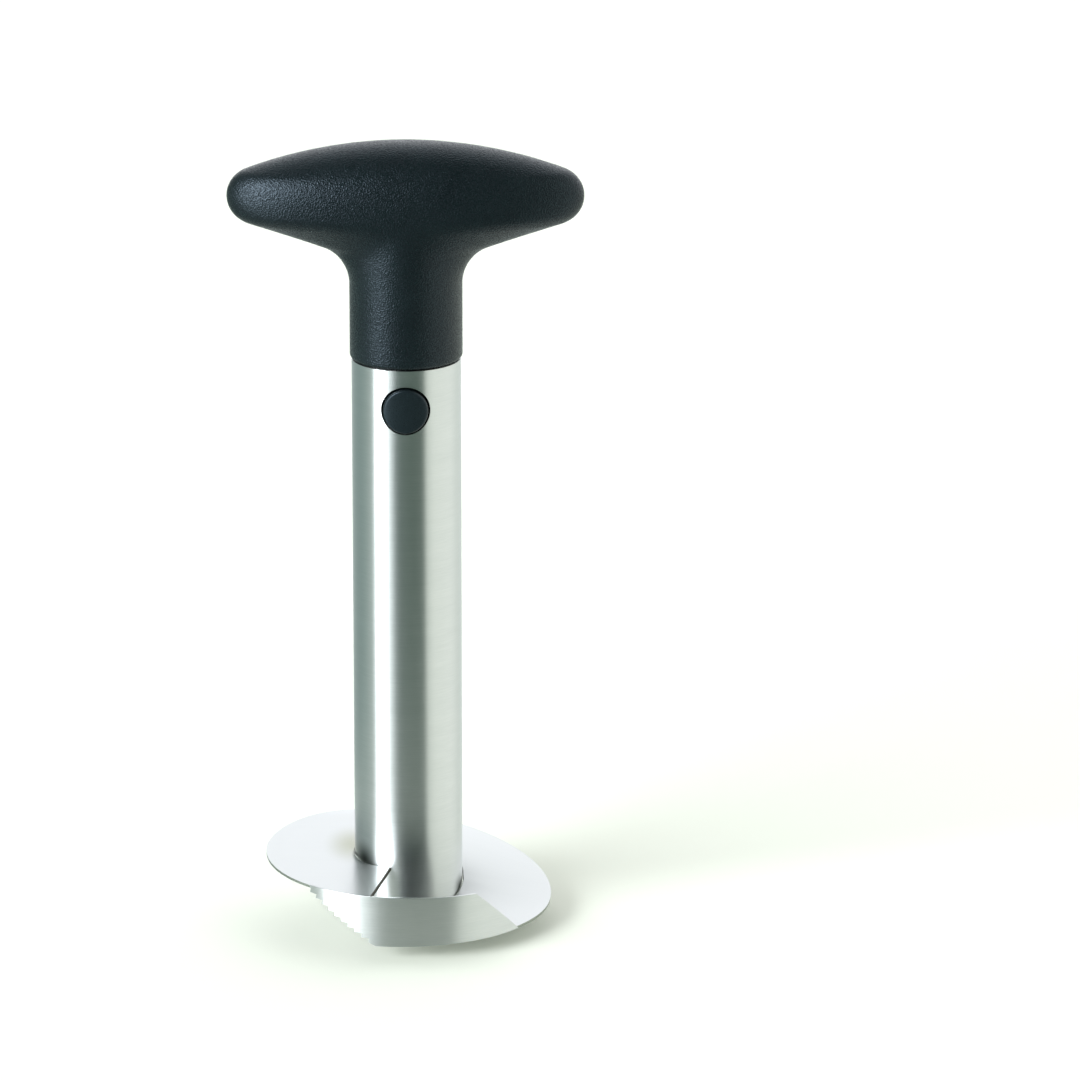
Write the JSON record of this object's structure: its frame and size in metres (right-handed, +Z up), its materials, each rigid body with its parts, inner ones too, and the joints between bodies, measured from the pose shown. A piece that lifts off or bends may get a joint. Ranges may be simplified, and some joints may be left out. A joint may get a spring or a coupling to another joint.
{
  "type": "pineapple slicer",
  "caption": "Hand tool that cores and slices a pineapple: a toothed steel core tube with a spiral blade and side cutter at its foot, and a T-shaped plastic grip with a release button.",
  "frame": {"origin": "on the core tube's axis, level with the tips of its teeth, which is the bottom centre of the box round the part", "axes": "+Z up along the tube towards the grip, -Y to the front where the release button is, +X to the right along the grip's bar"},
  "size_m": [0.104, 0.0847, 0.2375],
  "materials": {
    "brushed_stainless": "fine brushed grain, round the tube and along the sheet",
    "spring_steel": "plain bright steel",
    "grip_plastic": "fine matte texture",
    "latch_plastic": "plain moulded, satin"
  },
  "bodies": {
    "slicer": {"core_tube": "brushed_stainless", "spiral_blade": "brushed_stainless", "side_cutter": "brushed_stainless", "weld_bead_left": "brushed_stainless", "weld_bead_back": "brushed_stainless", "weld_bead_front": "brushed_stainless", "grip_front_shell": "grip_plastic", "grip_rear_shell": "grip_plastic", "latch_plug": "latch_plastic", "button_spring": "spring_steel", "spring_carrier": "latch_plastic", "carrier_screw_left": "spring_steel", "carrier_screw_right": "spring_steel"},
    "button": {"release_button": "grip_plastic"}
  },
  "joints": [
    {"name": "button_press", "type": "slide", "parent": "slicer", "child": "button", "axis": [0, 1, 0], "range_m": [0, 0.0032], "stiffness_N_per_m": 600, "springref_m": -0.004, "deforming": ["button_spring"]}
  ]
}
